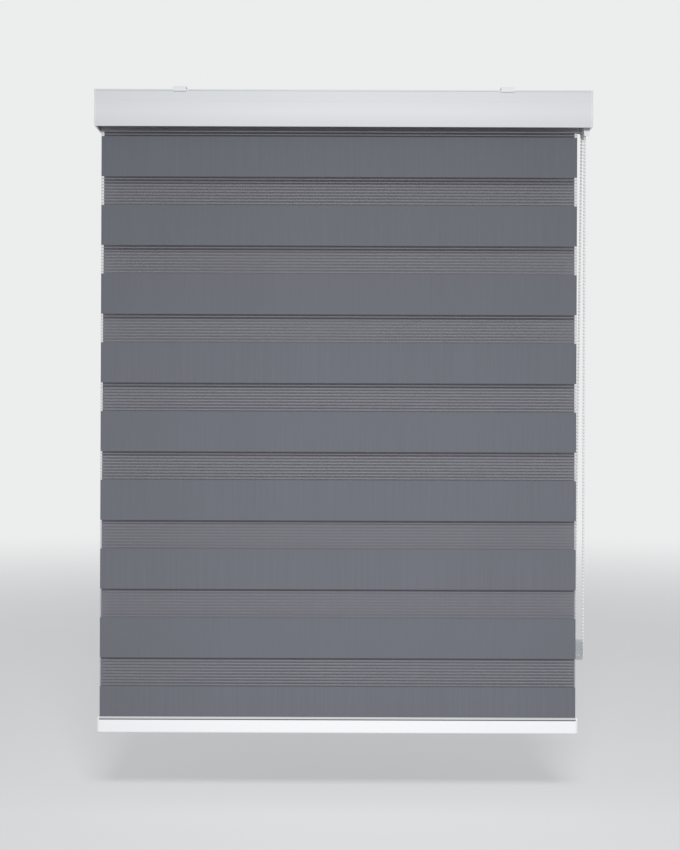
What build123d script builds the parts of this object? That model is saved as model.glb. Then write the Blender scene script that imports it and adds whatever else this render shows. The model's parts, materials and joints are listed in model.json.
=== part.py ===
from build123d import *
import math
import os

# A day and night blind in a closed cassette, clipped under a ceiling by two brackets.
# Millimetres, +Z up. The origin lies on the ceiling plane, midway between the two bracket screws.
# +X is to the right as seen from the room, and the front of the blind faces -Y.

os.makedirs("parts", exist_ok=True)

# Whole blind
CASSETTE_WIDTH = 900.0
CASSETTE_HEIGHT = 66.0
CEILING_GAP = 5.0
BLIND_DROP = 1170.0
IDLE_ALLOWANCE = 10.0
CONTROL_ALLOWANCE = 25.0
FIT = 0.3
OVERRUN = 5.0

# Cassette section, in front of and behind the bracket screws
FRONT_REACH = 36.0
REAR_REACH = 28.0
WALL = 1.6
RIM_HEIGHT = 2.4
RIM_DEPTH = 1.2
STEP_DROP = 20.5
STEP_SETBACK = 3.0
STEP_LEDGE = 1.0
BULGE_DROP = 45.0
BULGE_REACH = 0.2
LOWER_SETBACK = 3.5
LOWER_LIP = 3.0
LAP_LENGTH = 16.0
LAP_TONGUE = 11.0
PORT_RADIUS = 3.2
FRONT_PORT_INSET = 12.0
NOTCH_LENGTH = 14.5

# Channel for the fixed end of the cloth
CHANNEL_INSET = 11.0
CHANNEL_WIDTH = 10.0
CHANNEL_HEIGHT = 10.0
CHANNEL_SLOT = 3.0
STRIP_WIDTH = 5.6
STRIP_HEIGHT = 3.0

# End caps and their screws
CAP_THICKNESS = 3.5
CAP_PROUD = 0.5
CAP_ROUND = 1.2
CAP_SOCKET_DEPTH = 2.2
BOSS_RADIUS = 8.0
BOSS_LENGTH = 3.0
SCREW_RADIUS = 1.3
SCREW_LENGTH = 12.0
SCREW_HEAD_RADIUS = 2.6
SCREW_HEAD_HEIGHT = 1.6

# Ceiling brackets
BRACKET_SPACING = 592.0
BRACKET_WIDTH = 24.0
BRACKET_SHEET = 1.4
BRACKET_BEND = 0.9
BRACKET_HOLE_RADIUS = 2.4

# Roller
AXIS_Y = 1.0
AXIS_DROP = 28.0
TUBE_RADIUS = 14.0
TUBE_WALL = 1.3
IDLE_MARGIN = 1.0
DRIVE_MARGIN = 3.0
GROOVE_WIDTH = 4.0
GROOVE_DEPTH = 2.2
ROLL_TURNS = 2
FIN_COUNT = 6
FIN_THICKNESS = 2.0
SLEEVE_RADIUS = 9.6
FLANGE_RADIUS = 15.0
FLANGE_THICKNESS = 2.0
PLUG_LENGTH = 26.0
CROWN_LENGTH = 28.0

# Idle end
PIN_RADIUS = 3.0
PIN_LENGTH = 18.0
PIN_COLLAR_RADIUS = 4.6
PIN_COLLAR_LENGTH = 2.0
SPRING_WIRE = 0.9
BUSH_WALL = 1.8

# Chain clutch
CHAIN_INSET = 11.5
POCKET_COUNT = 16
BEAD_PITCH = 6.0
BEAD_DIAMETER = 4.5
CORD_DIAMETER = 1.4
WHEEL_FLANGE = 1.2
WHEEL_FLANGE_REACH = 1.4
WHEEL_HUB_RADIUS = 8.0
AXLE_RADIUS = 6.0
AXLE_REACH = 40.0
CLUTCH_PLATE_RADIUS = 16.0
CLUTCH_PLATE = 2.0
BRAKE_SPRING_LENGTH = 9.0
BRAKE_SPRING_WALL = 1.2
GUARD_WALL = 1.5
GUARD_CLEARANCE = 1.0
GUARD_WIDTH = 11.0
TONGUE_DROP = 12.5
TONGUE_SLANT = 2.0

# Chain tensioner
TENSIONER_INSET = 15.0
TENSIONER_Y = 10.0
TENSIONER_DROP = 1030.5
TENSIONER_WIDTH = 15.0
TENSIONER_HEIGHT = 37.0
TENSIONER_PLATE = 1.5
TENSIONER_CORNER = 4.0
TENSIONER_FOOT = 9.0
TENSIONER_CORE_HEIGHT = 16.0
TENSIONER_HOLE_RADIUS = 2.0
TURN_STEPS = 4
FLATNESS_SHARE = 0.000003

# Cloth
FABRIC_THICKNESS = 0.5
OPAQUE_HEIGHT = 73.0
SHEER_HEIGHT = 52.0
FIRST_EDGE_DROP = 159.0
RIB_COUNT = 9
RIB_PITCH = 5.5
RIB_START = 3.7
RIB_HEIGHT = 2.2

# Bottom rail
RAIL_HEIGHT = 29.0
RAIL_DEPTH = 20.0
RAIL_WALL = 1.4
RAIL_ROUND = 3.0
RAIL_SLOT_CLEARANCE = 0.5
RAIL_LIP = 3.0
RAIL_GROOVE = 2.0
RAIL_GROOVE_DEPTH = 2.2
RAIL_CAP_THICKNESS = 3.5
RAIL_CAP_ROUND = 1.0
RAIL_SPIGOT_LENGTH = 6.0
RAIL_SPIGOT_HEIGHT = 8.0
ROD_RADIUS = 3.5
ROD_DROP = 7.0
ROD_SOCKET_DEPTH = 2.4

# Places that several pieces share
CASSETTE_TOP = -CEILING_GAP
CASSETTE_BOTTOM = CASSETTE_TOP - CASSETTE_HEIGHT
EXTRUSION_LENGTH = CASSETTE_WIDTH - 2 * CAP_THICKNESS
CAP_FACE = EXTRUSION_LENGTH / 2
AXIS_Z = CASSETTE_TOP - AXIS_DROP
FABRIC_LEFT = -CASSETTE_WIDTH / 2 + IDLE_ALLOWANCE
FABRIC_RIGHT = CASSETTE_WIDTH / 2 - CONTROL_ALLOWANCE
FABRIC_WIDTH = FABRIC_RIGHT - FABRIC_LEFT
FABRIC_X = (FABRIC_LEFT + FABRIC_RIGHT) / 2
TUBE_LEFT = FABRIC_LEFT - IDLE_MARGIN
TUBE_RIGHT = FABRIC_RIGHT + DRIVE_MARGIN
TUBE_BORE = TUBE_RADIUS - TUBE_WALL
ROLL_RADIUS = TUBE_RADIUS + ROLL_TURNS * FABRIC_THICKNESS
LOOP_RADIUS = ROD_RADIUS + FIT + FABRIC_THICKNESS / 2
FRONT_Y = AXIS_Y - ROLL_RADIUS - FIT - FABRIC_THICKNESS / 2
BACK_Y = FRONT_Y + 2 * LOOP_RADIUS
RAIL_Y = FRONT_Y + LOOP_RADIUS
CHANNEL_Y = REAR_REACH - CHANNEL_INSET
RAIL_TOP = RAIL_HEIGHT - BLIND_DROP
RAIL_Z = RAIL_TOP - RAIL_HEIGHT / 2
ROD_Z = RAIL_TOP - ROD_DROP
CHAIN_X = CASSETTE_WIDTH / 2 - CHAIN_INSET
TENSIONER_X = CASSETTE_WIDTH / 2 - TENSIONER_INSET
PITCH_RADIUS = BEAD_PITCH / (2 * math.sin(math.pi / POCKET_COUNT))
BEAD_RADIUS = BEAD_DIAMETER / 2

# The roller's axis, a plane square to it, and a plane that holds it for turned profiles
ROLLER_AXIS = Axis((0, AXIS_Y, AXIS_Z), (1, 0, 0))
ROLLER_PLANE = Plane(origin=(0, AXIS_Y, AXIS_Z), x_dir=(0, 1, 0), z_dir=(1, 0, 0))
TURNING_PLANE = Plane(origin=(0, AXIS_Y, AXIS_Z), x_dir=(1, 0, 0), z_dir=(0, -1, 0))

# Points of the cassette section, as (y, z)
RIM_TOP = (-FRONT_REACH, CASSETTE_TOP)
RIM_LOW = (-FRONT_REACH, CASSETTE_TOP - RIM_HEIGHT)
RIM_ROOT = (-FRONT_REACH + RIM_DEPTH, CASSETTE_TOP - RIM_HEIGHT)
STEP = (-FRONT_REACH + STEP_SETBACK, CASSETTE_TOP - STEP_DROP)
LEDGE = (STEP[0] - STEP_LEDGE, STEP[1] - STEP_LEDGE)
BULGE = (-FRONT_REACH - BULGE_REACH, CASSETTE_TOP - BULGE_DROP)
LOWER_EDGE = (-FRONT_REACH + LOWER_SETBACK, CASSETTE_BOTTOM)
LAP_END = -FRONT_REACH + LAP_LENGTH
TONGUE_Z = CASSETTE_TOP - WALL - FIT - WALL / 2
FRONT_PORT = (-FRONT_REACH + FRONT_PORT_INSET, TONGUE_Z - PORT_RADIUS)
REAR_PORT = (REAR_REACH - WALL / 2 - PORT_RADIUS, CASSETTE_TOP - WALL / 2 - PORT_RADIUS)


def turned(*profile):
    """Turn a closed half profile of (x, radius) points about the roller's axis."""
    with BuildSketch(TURNING_PLANE) as half:
        with BuildLine():
            Polyline(*profile, close=True)
        make_face()
    revolve(half.sketch, axis=ROLLER_AXIS)


def fins(start, length):
    """Stand drive fins on a sleeve, with a gap for the key of the tube between two of them."""
    fin_reach = TUBE_BORE - FIT - SLEEVE_RADIUS
    with BuildSketch(ROLLER_PLANE.offset(start)) as star:
        with PolarLocations(SLEEVE_RADIUS, FIN_COUNT):
            Rectangle(2 * fin_reach, FIN_THICKNESS)
        Circle(SLEEVE_RADIUS, mode=Mode.SUBTRACT)
    extrude(star.sketch, amount=length)


# Cassette front: one extruded skin with a rim, a step and a bulged lower front
with BuildPart() as cassette_front:
    with BuildSketch(Plane.YZ.offset(-CAP_FACE)):
        with BuildLine():
            Polyline((LAP_END, CASSETTE_TOP), (RIM_ROOT[0], CASSETTE_TOP), RIM_ROOT, STEP, LEDGE)
            ThreePointArc(LEDGE, BULGE, LOWER_EDGE)
            Line(LOWER_EDGE, (LOWER_EDGE[0] + LOWER_LIP, LOWER_EDGE[1]))
            offset(amount=WALL, side=Side.LEFT, kind=Kind.INTERSECTION)
        make_face()
        with BuildLine():
            Polyline(RIM_TOP, RIM_LOW, RIM_ROOT, (RIM_ROOT[0], CASSETTE_TOP), close=True)
        make_face()
    extrude(amount=EXTRUSION_LENGTH)
cassette_front.part.label = "cassette_front"
export_step(cassette_front.part, "parts/cassette_front.step")

# Cassette back: top with a tongue under the front, rear wall, and the channel for the fixed cloth
SKIN_Z = CASSETTE_TOP - WALL / 2
REAR_SKIN_Y = REAR_REACH - WALL / 2
FLOOR_Z = CASSETTE_BOTTOM + WALL / 2
CHANNEL_FRONT = CHANNEL_Y - CHANNEL_WIDTH / 2
CHANNEL_REAR = CHANNEL_Y + CHANNEL_WIDTH / 2
CHANNEL_TOP = CASSETTE_BOTTOM + CHANNEL_HEIGHT
SLOT_FRONT = CHANNEL_Y - CHANNEL_SLOT / 2
SLOT_REAR = CHANNEL_Y + CHANNEL_SLOT / 2
TONGUE_ROOT = LAP_END + FIT + WALL / 2
with BuildPart() as cassette_back:
    with BuildSketch(Plane.YZ.offset(-CAP_FACE)):
        with BuildLine():
            Polyline(
                (LAP_END - LAP_TONGUE, TONGUE_Z),
                (TONGUE_ROOT, TONGUE_Z),
                (TONGUE_ROOT, SKIN_Z),
                (REAR_SKIN_Y, SKIN_Z),
                (REAR_SKIN_Y, FLOOR_Z),
                (SLOT_REAR, FLOOR_Z),
            )
        trace(line_width=WALL)
        with BuildLine():
            Polyline(
                (CHANNEL_REAR - WALL / 2, FLOOR_Z),
                (CHANNEL_REAR - WALL / 2, CHANNEL_TOP - WALL / 2),
                (CHANNEL_FRONT + WALL / 2, CHANNEL_TOP - WALL / 2),
                (CHANNEL_FRONT + WALL / 2, FLOOR_Z),
                (SLOT_FRONT, FLOOR_Z),
            )
        trace(line_width=WALL)
        with Locations((REAR_REACH + RIM_DEPTH / 2, CASSETTE_TOP - RIM_HEIGHT / 2)):
            Rectangle(RIM_DEPTH, RIM_HEIGHT)
        with Locations(FRONT_PORT, REAR_PORT):
            Circle(PORT_RADIUS)
            Circle(SCREW_RADIUS, mode=Mode.SUBTRACT)
            with Locations((0, -PORT_RADIUS)):
                Rectangle(SCREW_RADIUS, 2 * PORT_RADIUS, mode=Mode.SUBTRACT)
    extrude(amount=EXTRUSION_LENGTH)
    # The floor and channel stop short of the control end, where the chain comes down
    with BuildSketch(Plane.YZ.offset(CAP_FACE)):
        with BuildLine():
            Polyline(
                (CHANNEL_FRONT - OVERRUN, CASSETTE_BOTTOM - OVERRUN),
                (CHANNEL_FRONT - OVERRUN, CHANNEL_TOP + OVERRUN),
                (REAR_REACH - WALL, CHANNEL_TOP + OVERRUN),
                (REAR_REACH - WALL, CASSETTE_BOTTOM - OVERRUN),
                close=True,
            )
        make_face()
    extrude(amount=-NOTCH_LENGTH, mode=Mode.SUBTRACT)
cassette_back.part.label = "cassette_back"
export_step(cassette_back.part, "parts/cassette_back.step")

# Strip that keeps the fixed end of the cloth in the channel
with BuildPart() as fixed_end_strip:
    with BuildSketch(Plane.YZ.offset(FABRIC_LEFT)):
        with Locations((CHANNEL_Y, CASSETTE_BOTTOM + WALL + STRIP_HEIGHT / 2)):
            Rectangle(STRIP_WIDTH, STRIP_HEIGHT)
    extrude(amount=FABRIC_WIDTH)
fixed_end_strip.part.label = "fixed_end_strip"
export_step(fixed_end_strip.part, "parts/fixed_end_strip.step")

# End caps: plates with the outline of the cassette, a little proud of it
BUSH_RADIUS = PIN_RADIUS + FIT + BUSH_WALL
for side, cap_name in ((-1, "end_cap_left"), (1, "end_cap_right")):
    inner_face = Plane.YZ.offset(side * CAP_FACE)
    outer_face = Plane.YZ.offset(side * CASSETTE_WIDTH / 2)
    with BuildPart() as end_cap:
        with BuildSketch(inner_face):
            with BuildLine():
                Polyline(RIM_TOP, RIM_LOW, STEP, LEDGE)
                ThreePointArc(LEDGE, BULGE, LOWER_EDGE)
                Polyline(LOWER_EDGE, (REAR_REACH, CASSETTE_BOTTOM), (REAR_REACH, CASSETTE_TOP), RIM_TOP)
            make_face()
            offset(amount=CAP_PROUD)
        extrude(amount=side * CAP_THICKNESS)
        outer_edges = end_cap.faces().sort_by(Axis.X)[-1 if side > 0 else 0].edges()
        fillet(outer_edges, CAP_ROUND)
        with BuildSketch(inner_face):
            with Locations(FRONT_PORT, REAR_PORT):
                Circle(SCREW_RADIUS + FIT)
        extrude(amount=side * CAP_THICKNESS, mode=Mode.SUBTRACT)
        with BuildSketch(outer_face):
            with Locations(FRONT_PORT, REAR_PORT):
                Circle(SCREW_HEAD_RADIUS + FIT)
        extrude(amount=-side * SCREW_HEAD_HEIGHT, mode=Mode.SUBTRACT)
        if side < 0:
            with BuildSketch(ROLLER_PLANE.offset(-CAP_FACE)):
                Circle(BOSS_RADIUS)
                Circle(BUSH_RADIUS, mode=Mode.SUBTRACT)
            extrude(amount=BOSS_LENGTH)
        else:
            with BuildSketch(ROLLER_PLANE.offset(CAP_FACE)):
                Circle(AXLE_RADIUS + FIT)
            extrude(amount=CAP_SOCKET_DEPTH + FIT, mode=Mode.SUBTRACT)
    end_cap.part.label = cap_name
    export_step(end_cap.part, f"parts/{cap_name}.step")

# Four screws that hold the caps to the ports of the cassette back
with BuildPart() as end_cap_screws:
    for side in (-1, 1):
        head_seat = side * (CASSETTE_WIDTH / 2 - SCREW_HEAD_HEIGHT)
        with BuildSketch(Plane.YZ.offset(head_seat)):
            with Locations(FRONT_PORT, REAR_PORT):
                Circle(SCREW_HEAD_RADIUS)
        extrude(amount=side * SCREW_HEAD_HEIGHT)
        with BuildSketch(Plane.YZ.offset(head_seat)):
            with Locations(FRONT_PORT, REAR_PORT):
                Circle(SCREW_RADIUS - FIT / 2)
        extrude(amount=-side * SCREW_LENGTH)
end_cap_screws.part.label = "end_cap_screws"
export_step(end_cap_screws.part, "parts/end_cap_screws.step")

# Ceiling brackets: bent spring steel that grips the rims of the cassette in front and behind
HOOK_FRONT = -FRONT_REACH - FIT - BRACKET_SHEET / 2
HOOK_REAR = REAR_REACH + RIM_DEPTH + FIT + BRACKET_SHEET / 2
HOOK_Z = CASSETTE_TOP - RIM_HEIGHT - FIT - BRACKET_SHEET / 2
for side, bracket_name in ((-1, "ceiling_bracket_left"), (1, "ceiling_bracket_right")):
    bracket_x = side * BRACKET_SPACING / 2
    with BuildPart() as ceiling_bracket:
        with BuildSketch(Plane.YZ.offset(bracket_x)):
            with BuildLine():
                FilletPolyline(
                    (RIM_ROOT[0] - FIT, HOOK_Z),
                    (HOOK_FRONT, HOOK_Z),
                    (HOOK_FRONT, -BRACKET_SHEET / 2),
                    (HOOK_REAR, -BRACKET_SHEET / 2),
                    (HOOK_REAR, HOOK_Z),
                    (REAR_REACH + FIT, HOOK_Z),
                    radius=BRACKET_BEND,
                )
            trace(line_width=BRACKET_SHEET)
        extrude(amount=BRACKET_WIDTH / 2, both=True)
        with BuildSketch(Plane.XY):
            with Locations((bracket_x, 0)):
                Circle(BRACKET_HOLE_RADIUS)
        extrude(amount=-BRACKET_SHEET, mode=Mode.SUBTRACT)
    ceiling_bracket.part.label = bracket_name
    export_step(ceiling_bracket.part, f"parts/{bracket_name}.step")

# Roller tube with a formed groove, whose inner side is the key that drives it
KEY_WIDTH = GROOVE_WIDTH + 2 * TUBE_WALL
KEY_FLOOR = TUBE_RADIUS - GROOVE_DEPTH - TUBE_WALL
GROOVE_FLOOR = KEY_FLOOR + TUBE_WALL
KEY_TOP = TUBE_RADIUS - TUBE_WALL / 2
with BuildPart() as roller_tube:
    with BuildSketch(ROLLER_PLANE.offset(TUBE_LEFT)):
        Circle(TUBE_RADIUS)
        Circle(TUBE_BORE, mode=Mode.SUBTRACT)
        with Locations((0, (KEY_FLOOR + KEY_TOP) / 2)):
            Rectangle(KEY_WIDTH, KEY_TOP - KEY_FLOOR)
        with Locations((0, GROOVE_FLOOR + TUBE_RADIUS / 2)):
            Rectangle(GROOVE_WIDTH, TUBE_RADIUS, mode=Mode.SUBTRACT)
    extrude(amount=TUBE_RIGHT - TUBE_LEFT)
roller_tube.part.label = "roller_tube"
export_step(roller_tube.part, "parts/roller_tube.step")

# Spline that holds the cloth in the groove of the tube
SPLINE_HEIGHT = GROOVE_DEPTH - FIT
with BuildPart() as fabric_spline:
    with BuildSketch(ROLLER_PLANE.offset(FABRIC_LEFT)):
        with Locations((0, GROOVE_FLOOR + SPLINE_HEIGHT / 2)):
            Rectangle(GROOVE_WIDTH - 2 * FIT, SPLINE_HEIGHT)
    extrude(amount=FABRIC_WIDTH)
fabric_spline.part.label = "fabric_spline"
export_step(fabric_spline.part, "parts/fabric_spline.step")

# Turns of cloth left on the tube when the blind is down
with BuildPart() as fabric_roll:
    with BuildSketch(ROLLER_PLANE.offset(FABRIC_LEFT)):
        Circle(ROLL_RADIUS)
        Circle(TUBE_RADIUS, mode=Mode.SUBTRACT)
    extrude(amount=FABRIC_WIDTH)
fabric_roll.part.label = "fabric_roll"
export_step(fabric_roll.part, "parts/fabric_roll.step")

# Idle plug: finned sleeve with a flange, bored for the sprung pin
PLUG_END = TUBE_LEFT + PLUG_LENGTH
PLUG_FACE = TUBE_LEFT - FLANGE_THICKNESS
PIN_BORE = PIN_RADIUS + FIT
COLLAR_BORE = PIN_COLLAR_RADIUS + FIT
COLLAR_SEAT = TUBE_LEFT + FLANGE_THICKNESS
with BuildPart() as idle_plug:
    turned(
        (PLUG_FACE, PIN_BORE),
        (PLUG_FACE, FLANGE_RADIUS),
        (TUBE_LEFT, FLANGE_RADIUS),
        (TUBE_LEFT, SLEEVE_RADIUS),
        (PLUG_END, SLEEVE_RADIUS),
        (PLUG_END, 0),
        (PLUG_END - FLANGE_THICKNESS, 0),
        (PLUG_END - FLANGE_THICKNESS, COLLAR_BORE),
        (COLLAR_SEAT, COLLAR_BORE),
        (COLLAR_SEAT, PIN_BORE),
    )
    fins(TUBE_LEFT, PLUG_LENGTH)
idle_plug.part.label = "idle_plug"
export_step(idle_plug.part, "parts/idle_plug.step")

# Idle pin with the collar that the spring pushes on
PIN_TIP = -CAP_FACE + FIT
COLLAR_END = COLLAR_SEAT + PIN_COLLAR_LENGTH
PIN_END = PIN_TIP + PIN_LENGTH
with BuildPart() as idle_pin:
    turned(
        (PIN_TIP, 0),
        (PIN_TIP, PIN_RADIUS),
        (COLLAR_SEAT, PIN_RADIUS),
        (COLLAR_SEAT, PIN_COLLAR_RADIUS),
        (COLLAR_END, PIN_COLLAR_RADIUS),
        (COLLAR_END, PIN_RADIUS),
        (PIN_END, PIN_RADIUS),
        (PIN_END, 0),
    )
idle_pin.part.label = "idle_pin"
export_step(idle_pin.part, "parts/idle_pin.step")

# Spring behind the collar, as the outer form of its close coil
with BuildPart() as idle_spring:
    turned(
        (COLLAR_END, PIN_BORE),
        (COLLAR_END, PIN_BORE + SPRING_WIRE),
        (PLUG_END - FLANGE_THICKNESS, PIN_BORE + SPRING_WIRE),
        (PLUG_END - FLANGE_THICKNESS, PIN_BORE),
    )
idle_spring.part.label = "idle_spring"
export_step(idle_spring.part, "parts/idle_spring.step")

# Bush in the boss of the left end cap
with BuildPart() as idle_bush:
    turned(
        (-CAP_FACE, PIN_BORE),
        (-CAP_FACE, BUSH_RADIUS),
        (-CAP_FACE + BOSS_LENGTH, BUSH_RADIUS),
        (-CAP_FACE + BOSS_LENGTH, PIN_BORE),
    )
idle_bush.part.label = "idle_bush"
export_step(idle_bush.part, "parts/idle_bush.step")

# Clutch base: the plate on the right end cap and the fixed axle of the clutch
AXLE_END = CAP_FACE - AXLE_REACH
with BuildPart() as clutch_base:
    turned(
        (AXLE_END, 0),
        (AXLE_END, AXLE_RADIUS),
        (CAP_FACE - CLUTCH_PLATE, AXLE_RADIUS),
        (CAP_FACE - CLUTCH_PLATE, CLUTCH_PLATE_RADIUS),
        (CAP_FACE, CLUTCH_PLATE_RADIUS),
        (CAP_FACE, AXLE_RADIUS),
        (CAP_FACE + CAP_SOCKET_DEPTH, AXLE_RADIUS),
        (CAP_FACE + CAP_SOCKET_DEPTH, 0),
    )
clutch_base.part.label = "clutch_base"
export_step(clutch_base.part, "parts/clutch_base.step")

# Two brake springs wound round the axle, as the outer form of their close coils
SPRING_BORE = AXLE_RADIUS + FIT
SPRING_RADIUS = SPRING_BORE + BRAKE_SPRING_WALL
with BuildPart() as wrap_springs:
    for place in (0, 1):
        spring_start = AXLE_END + FIT + place * (BRAKE_SPRING_LENGTH + FIT)
        turned(
            (spring_start, SPRING_BORE),
            (spring_start, SPRING_RADIUS),
            (spring_start + BRAKE_SPRING_LENGTH, SPRING_RADIUS),
            (spring_start + BRAKE_SPRING_LENGTH, SPRING_BORE),
        )
wrap_springs.part.label = "wrap_springs"
export_step(wrap_springs.part, "parts/wrap_springs.step")

# Drive crown: finned sleeve in the right end of the tube, round the brake springs
CROWN_END = TUBE_RIGHT - CROWN_LENGTH
CROWN_FACE = TUBE_RIGHT + FLANGE_THICKNESS
CROWN_BORE = SPRING_RADIUS + FIT
with BuildPart() as drive_crown:
    turned(
        (CROWN_END, CROWN_BORE),
        (CROWN_END, SLEEVE_RADIUS),
        (TUBE_RIGHT, SLEEVE_RADIUS),
        (TUBE_RIGHT, FLANGE_RADIUS),
        (CROWN_FACE, FLANGE_RADIUS),
        (CROWN_FACE, CROWN_BORE),
    )
    fins(CROWN_END, CROWN_LENGTH)
drive_crown.part.label = "drive_crown"
export_step(drive_crown.part, "parts/drive_crown.step")

# Chain wheel: a toothed core between two flanges, with a hollow for each bead
HOLLOW_RADIUS = PITCH_RADIUS - BEAD_RADIUS - FIT
TOOTH_RADIUS = PITCH_RADIUS - CORD_DIAMETER / 2 - FIT
CORE_HALF = BEAD_RADIUS + FIT
WHEEL_LEFT = CHAIN_X - CORE_HALF - WHEEL_FLANGE
WHEEL_RIGHT = CHAIN_X + CORE_HALF + WHEEL_FLANGE
tooth_points = []
for half_step in range(2 * POCKET_COUNT):
    turn = math.pi * half_step / POCKET_COUNT
    reach = TOOTH_RADIUS if half_step % 2 else HOLLOW_RADIUS
    tooth_points.append((reach * math.cos(turn), reach * math.sin(turn)))
with BuildPart() as chain_wheel:
    with BuildSketch(ROLLER_PLANE.offset(WHEEL_LEFT)):
        with BuildLine():
            Polyline(*tooth_points, close=True)
        make_face()
    extrude(amount=WHEEL_RIGHT - WHEEL_LEFT)
    for flange_start in (WHEEL_LEFT, WHEEL_RIGHT - WHEEL_FLANGE):
        with BuildSketch(ROLLER_PLANE.offset(flange_start)):
            Circle(PITCH_RADIUS + WHEEL_FLANGE_REACH)
        extrude(amount=WHEEL_FLANGE)
    with BuildSketch(ROLLER_PLANE.offset(CROWN_FACE)):
        Circle(WHEEL_HUB_RADIUS)
    extrude(amount=WHEEL_LEFT - CROWN_FACE)
    with BuildSketch(ROLLER_PLANE.offset(CROWN_FACE)):
        Circle(AXLE_RADIUS + FIT)
    extrude(amount=WHEEL_RIGHT - CROWN_FACE, mode=Mode.SUBTRACT)
chain_wheel.part.label = "chain_wheel"
export_step(chain_wheel.part, "parts/chain_wheel.step")

# Chain guard: an arch over the wheel, whose legs lead the two strands out under the cassette
GUARD_RADIUS = PITCH_RADIUS + BEAD_RADIUS + GUARD_CLEARANCE + GUARD_WALL / 2
GUARD_LEFT = CAP_FACE - GUARD_WIDTH
LEG_Z = CASSETTE_BOTTOM - TONGUE_DROP
with BuildPart() as chain_guard:
    with BuildSketch(Plane.YZ.offset(GUARD_LEFT)):
        with BuildLine():
            Line((AXIS_Y - GUARD_RADIUS, LEG_Z), (AXIS_Y - GUARD_RADIUS, AXIS_Z))
            ThreePointArc(
                (AXIS_Y - GUARD_RADIUS, AXIS_Z),
                (AXIS_Y, AXIS_Z + GUARD_RADIUS),
                (AXIS_Y + GUARD_RADIUS, AXIS_Z),
            )
            Line((AXIS_Y + GUARD_RADIUS, AXIS_Z), (AXIS_Y + GUARD_RADIUS, LEG_Z))
        trace(line_width=GUARD_WALL)
    extrude(amount=GUARD_WIDTH)
    # The lower inner corner of both legs is cut at a slant
    with BuildSketch(Plane.XZ):
        with BuildLine():
            Polyline(
                (GUARD_LEFT, LEG_Z),
                (GUARD_LEFT, LEG_Z + TONGUE_DROP),
                (GUARD_LEFT + TONGUE_SLANT, LEG_Z),
                close=True,
            )
        make_face()
    extrude(amount=2 * GUARD_RADIUS, both=True, mode=Mode.SUBTRACT)
chain_guard.part.label = "chain_guard"
export_step(chain_guard.part, "parts/chain_guard.step")

# Bead chain: one endless loop over the wheel and round the core of the tensioner
TURN_RADIUS = TURN_STEPS * BEAD_PITCH / math.pi
TURN_CENTRE = Vector(TENSIONER_X, TENSIONER_Y, -TENSIONER_DROP)
BEAD_SECTION = BEAD_DIAMETER * math.sqrt(math.pi) / 2
WHEEL_CENTRE = Vector(CHAIN_X, AXIS_Y, AXIS_Z)
SQUARE = ((1, 1), (-1, 1), (-1, -1), (1, -1))
FLATNESS = FLATNESS_SHARE * BEAD_DIAMETER**3


def wheel_stop(turn):
    """A point of the chain on the wheel, from the rear (0) over the top to the front (180 degrees)."""
    angle = math.radians(turn)
    return WHEEL_CENTRE + Vector(0, math.cos(angle), math.sin(angle)) * PITCH_RADIUS


def tensioner_stop(turn):
    """A point of the chain in the tensioner, from its right (0) round below to its left (180)."""
    angle = math.radians(turn)
    return TURN_CENTRE + Vector(math.cos(angle), 0, -math.sin(angle)) * TURN_RADIUS


def strand(start, end):
    """Half-pitch stops of a straight strand, without its first and last."""
    steps = 2 * round((end - start).length / BEAD_PITCH)
    return [start + (end - start) * (step / steps) for step in range(1, steps)]


def chain_section(stops, stop):
    """Corners of the square section at a stop: wide in the middle of a bead, narrow between two."""
    here = stops[stop]
    along = stops[(stop + 1) % len(stops)] - stops[stop - 1]
    across = here - TURN_CENTRE if here.Z < TURN_CENTRE.Z else Vector(1, 0, 0)
    plane = Plane(origin=here, x_dir=across, z_dir=along)
    half = CORD_DIAMETER / 2 if stop % 2 else BEAD_SECTION / 2
    return [plane.from_local_coords(Vector(x * half, y * half, 0)) for x, y in SQUARE]


def flat_faces(here, ahead):
    """Flat faces between two sections; a side that is bent at a corner of the route has two."""
    nearest = min(range(len(ahead)), key=lambda corner: (ahead[corner] - here[0]).length)
    ahead = ahead[nearest:] + ahead[:nearest]
    faces = []
    for corner in range(len(here)):
        a, b, c, d = here[corner - 1], here[corner], ahead[corner], ahead[corner - 1]
        if abs((b - a).cross(c - a).dot(d - a)) < FLATNESS:
            outlines = [(a, b, c, d)]
        else:
            outlines = [(a, b, c), (a, c, d)]
        faces += [Face(Wire.make_polygon(outline)) for outline in outlines]
    return faces


# The stops alternate between the middle of a bead and the cord between two beads
wheel_stops = [wheel_stop(180 * step / POCKET_COUNT) for step in range(POCKET_COUNT + 1)]
turn_stops = [tensioner_stop(90 * step / TURN_STEPS) for step in range(2 * TURN_STEPS + 1)]
front_strand = strand(wheel_stops[-1], turn_stops[0])
back_strand = strand(turn_stops[-1], wheel_stops[0])
loop_stops = wheel_stops + front_strand + turn_stops + back_strand
chain_sections = [chain_section(loop_stops, stop) for stop in range(len(loop_stops))]
chain_faces = []
for section in range(len(chain_sections)):
    chain_faces += flat_faces(chain_sections[section - 1], chain_sections[section])
with BuildPart() as bead_chain:
    add(Solid(Shell(chain_faces)))
bead_chain.part.label = "bead_chain"
export_step(bead_chain.part, "parts/bead_chain.step")

# Chain tensioner: a back plate with the core that the chain goes round, and a front cover
CORE_RADIUS = TURN_RADIUS - BEAD_RADIUS - FIT
CORE_REACH = BEAD_RADIUS + FIT
PLATE_Z = -TENSIONER_DROP - TENSIONER_FOOT + TENSIONER_HEIGHT / 2
HOLE_PLACE = (TENSIONER_X, -TENSIONER_DROP)


def tensioner_plate():
    """Draw the outline of the tensioner's plates."""
    with Locations((TENSIONER_X, PLATE_Z)):
        RectangleRounded(TENSIONER_WIDTH, TENSIONER_HEIGHT, TENSIONER_CORNER)


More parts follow.
